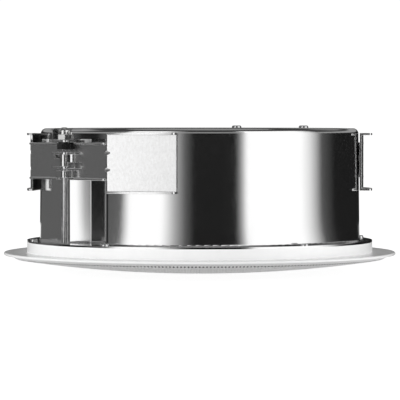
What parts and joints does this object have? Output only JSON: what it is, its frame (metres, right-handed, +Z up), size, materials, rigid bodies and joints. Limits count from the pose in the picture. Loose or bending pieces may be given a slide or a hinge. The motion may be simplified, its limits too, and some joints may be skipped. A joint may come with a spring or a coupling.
{
  "type": "in-ceiling speaker",
  "caption": "Round in-ceiling speaker: domed perforated grille, white flange and collar, bright steel back can with wing clamps drawn down by long screws.",
  "frame": {"origin": "on the speaker's axis, in the plane where the flange meets the ceiling", "axes": "+Z up into the ceiling along the axis, grille towards -Z; the picture looks along +Y"},
  "size_m": [0.23, 0.23, 0.0857],
  "materials": {
    "white_plastic": "smooth white moulding",
    "grille_white": "white powder coat",
    "magnet_nickel": "nickel plated",
    "plated_steel": "bright plated sheet",
    "screw_zinc": "zinc plated",
    "basket_black": "black paint",
    "gasket_black": "foam gasket",
    "screw_black": "black oxide",
    "terminal_board": "phenolic board",
    "surround_rubber": "moulded rubber",
    "cone_paper": "pressed paper",
    "cap_paper": "pressed paper",
    "spider_cloth": "stiffened cloth",
    "coil_copper": "enamelled wire",
    "motor_steel": "plated steel",
    "ferrite": "sintered ferrite",
    "core_steel": "stacked laminations",
    "winding_tape": "taped winding",
    "frame_zinc": "plated steel",
    "terminal_black": "moulded plastic",
    "bracket_zinc": "bright plated sheet",
    "nut_zinc": "zinc plated",
    "spacer_nickel": "nickel plated",
    "bush_black": "moulded plastic",
    "dome_nickel": "nickel plated"
  },
  "bodies": {
    "housing": {"baffle": "white_plastic", "grille": "grille_white", "grille_magnets": "magnet_nickel", "back_can": "plated_steel", "can_screws": "screw_zinc", "driver_basket": "basket_black", "driver_gasket": "gasket_black", "driver_screws": "screw_black", "driver_terminals": "terminal_board", "surround": "surround_rubber", "spider": "spider_cloth", "top_plate": "motor_steel", "magnet": "ferrite", "pole_yoke": "motor_steel", "transformer_core": "core_steel", "transformer_winding": "winding_tape", "transformer_frame": "frame_zinc", "transformer_screws": "screw_zinc", "terminal_block": "terminal_black", "terminal_screws": "screw_zinc"},
    "cone_assembly": {"cone": "cone_paper", "dust_cap": "cap_paper", "voice_coil": "coil_copper"},
    "clamp_left": {"clamp_bracket_left": "bracket_zinc", "clamp_nut_left": "nut_zinc", "clamp_spacer_left": "spacer_nickel", "clamp_bush_left": "bush_black"},
    "screw_left": {"clamp_screw_left": "screw_zinc", "dome_nut_left": "dome_nickel"},
    "clamp_right": {"clamp_bracket_right": "bracket_zinc", "clamp_nut_right": "nut_zinc", "clamp_spacer_right": "spacer_nickel", "clamp_bush_right": "bush_black"},
    "screw_right": {"clamp_screw_right": "screw_zinc", "dome_nut_right": "dome_nickel"}
  },
  "joints": [
    {"name": "clamp_left_travel", "type": "slide", "parent": "housing", "child": "clamp_left", "axis": [0, 0, 1], "range_m": [-0.0259, 0]},
    {"name": "screw_left_turn", "type": "hinge", "parent": "housing", "child": "screw_left", "pos_m": [-0.07621, -0.05537, 0], "axis": [0, 0, 1], "range_deg": [0, 13320]},
    {"name": "clamp_right_travel", "type": "slide", "parent": "housing", "child": "clamp_right", "axis": [0, 0, 1], "range_m": [-0.0259, 0]},
    {"name": "screw_right_turn", "type": "hinge", "parent": "housing", "child": "screw_right", "pos_m": [0.07621, 0.05537, 0], "axis": [0, 0, 1], "range_deg": [0, 13320]},
    {"name": "cone_travel", "type": "slide", "parent": "housing", "child": "cone_assembly", "axis": [0, 0, 1], "range_m": [-0.003, 0.003], "stiffness_N_per_m": 1500, "deforming": ["surround", "spider"]}
  ],
  "couplings": [
    {"joint": "screw_left_turn", "follows": "clamp_left_travel", "rad_per_m": -8976},
    {"joint": "screw_right_turn", "follows": "clamp_right_travel", "rad_per_m": -8976}
  ]
}
